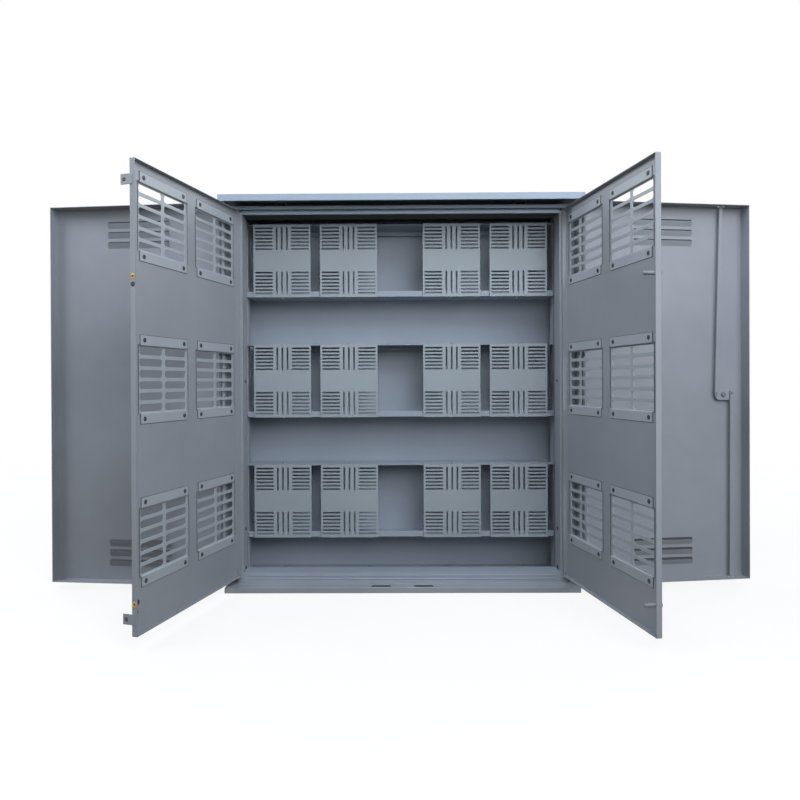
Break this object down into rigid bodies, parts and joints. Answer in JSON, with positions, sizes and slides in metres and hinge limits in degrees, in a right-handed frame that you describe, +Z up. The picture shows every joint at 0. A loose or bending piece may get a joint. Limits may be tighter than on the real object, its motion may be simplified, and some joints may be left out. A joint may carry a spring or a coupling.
{
  "type": "roadside utility cabinet",
  "caption": "Free-standing sheet-steel street cabinet with outer and vented inner double doors, a rod lock and rows of slotted box covers.",
  "frame": {"origin": "on the underside of the base, below the middle of the door frame's front face", "axes": "+Z up, -Y toward the front, +X to the right when facing the cabinet"},
  "size_m": [2.4138, 0.8165, 1.344],
  "materials": {
    "paint": "satin powder coat",
    "cover_paint": "satin powder coat",
    "zinc": "zinc plated",
    "brass": "plain",
    "dark_metal": "black powder coat"
  },
  "bodies": {
    "cabinet": {"base_frame": "paint", "gland_plate": "paint", "left_side_panel": "paint", "right_side_panel": "paint", "rear_panel": "paint", "top_panel": "paint", "roof_cap": "paint", "roof_rails": "paint", "header_rail": "paint", "sill_rail": "paint", "left_jamb": "paint", "right_jamb": "paint", "left_post": "paint", "right_post": "paint", "low_row_channel": "paint", "middle_row_channel": "paint", "high_row_channel": "paint", "low_far_left_cover": "cover_paint", "low_left_cover": "cover_paint", "low_right_cover": "cover_paint", "low_far_right_cover": "cover_paint", "middle_far_left_cover": "cover_paint", "middle_left_cover": "cover_paint", "middle_right_cover": "cover_paint", "middle_far_right_cover": "cover_paint", "high_far_left_cover": "cover_paint", "high_left_cover": "cover_paint", "high_right_cover": "cover_paint", "high_far_right_cover": "cover_paint", "cover_screws": "zinc", "outer_hinge_pins": "zinc", "inner_pivot_brackets": "zinc"},
    "left_outer_leaf": {"left_outer_door": "paint"},
    "right_outer_leaf": {"right_outer_door": "paint", "lock_plate": "dark_metal"},
    "lock": {"lock_cam": "zinc", "lock_handle": "dark_metal"},
    "upper_rod": {"upper_lock_rod": "paint"},
    "lower_rod": {"lower_lock_rod": "paint"},
    "left_inner_leaf": {"left_inner_door": "paint", "threaded_inserts": "brass", "left_near_low_vent": "paint", "left_near_middle_vent": "paint", "left_near_high_vent": "paint", "left_far_low_vent": "paint", "left_far_middle_vent": "paint", "left_far_high_vent": "paint"},
    "right_inner_leaf": {"right_inner_door": "paint", "captive_screws": "zinc", "right_near_low_vent": "paint", "right_near_middle_vent": "paint", "right_near_high_vent": "paint", "right_far_low_vent": "paint", "right_far_middle_vent": "paint", "right_far_high_vent": "paint"}
  },
  "joints": [
    {"name": "left_outer_hinge", "type": "hinge", "parent": "cabinet", "child": "left_outer_leaf", "pos_m": [-0.606, -0.046, 0.671], "axis": [0, 0, 1], "range_deg": [0, 185.1]},
    {"name": "right_outer_hinge", "type": "hinge", "parent": "cabinet", "child": "right_outer_leaf", "pos_m": [0.606, -0.046, 0.671], "axis": [0, 0, -1], "range_deg": [0, 187.5]},
    {"name": "left_inner_hinge", "type": "hinge", "parent": "cabinet", "child": "left_inner_leaf", "pos_m": [-0.566, -0.012, 0.672], "axis": [0, 0, 1], "range_deg": [0, 106.1]},
    {"name": "right_inner_hinge", "type": "hinge", "parent": "cabinet", "child": "right_inner_leaf", "pos_m": [0.566, -0.012, 0.672], "axis": [0, 0, -1], "range_deg": [0, 99.1]},
    {"name": "lock_turn", "type": "hinge", "parent": "right_outer_leaf", "child": "lock", "pos_m": [1.12291, 0.04222, 0.662], "axis": [0.1305, -0.9914, 0], "range_deg": [0, 90]},
    {"name": "upper_rod_slide", "type": "slide", "parent": "right_outer_leaf", "child": "upper_rod", "axis": [0.0272, 0.0036, 0.9996], "range_m": [0, 0.02]},
    {"name": "lower_rod_slide", "type": "slide", "parent": "right_outer_leaf", "child": "lower_rod", "axis": [-0.0046, -0.0006, -1], "range_m": [0, 0.02]}
  ],
  "couplings": [
    {"joint": "left_inner_hinge", "follows": "left_outer_hinge", "ratio": 0.5732},
    {"joint": "right_inner_hinge", "follows": "right_outer_hinge", "ratio": 0.52853},
    {"joint": "upper_rod_slide", "follows": "lock_turn", "m_per_rad": 0.012732},
    {"joint": "lower_rod_slide", "follows": "lock_turn", "m_per_rad": 0.012732}
  ]
}
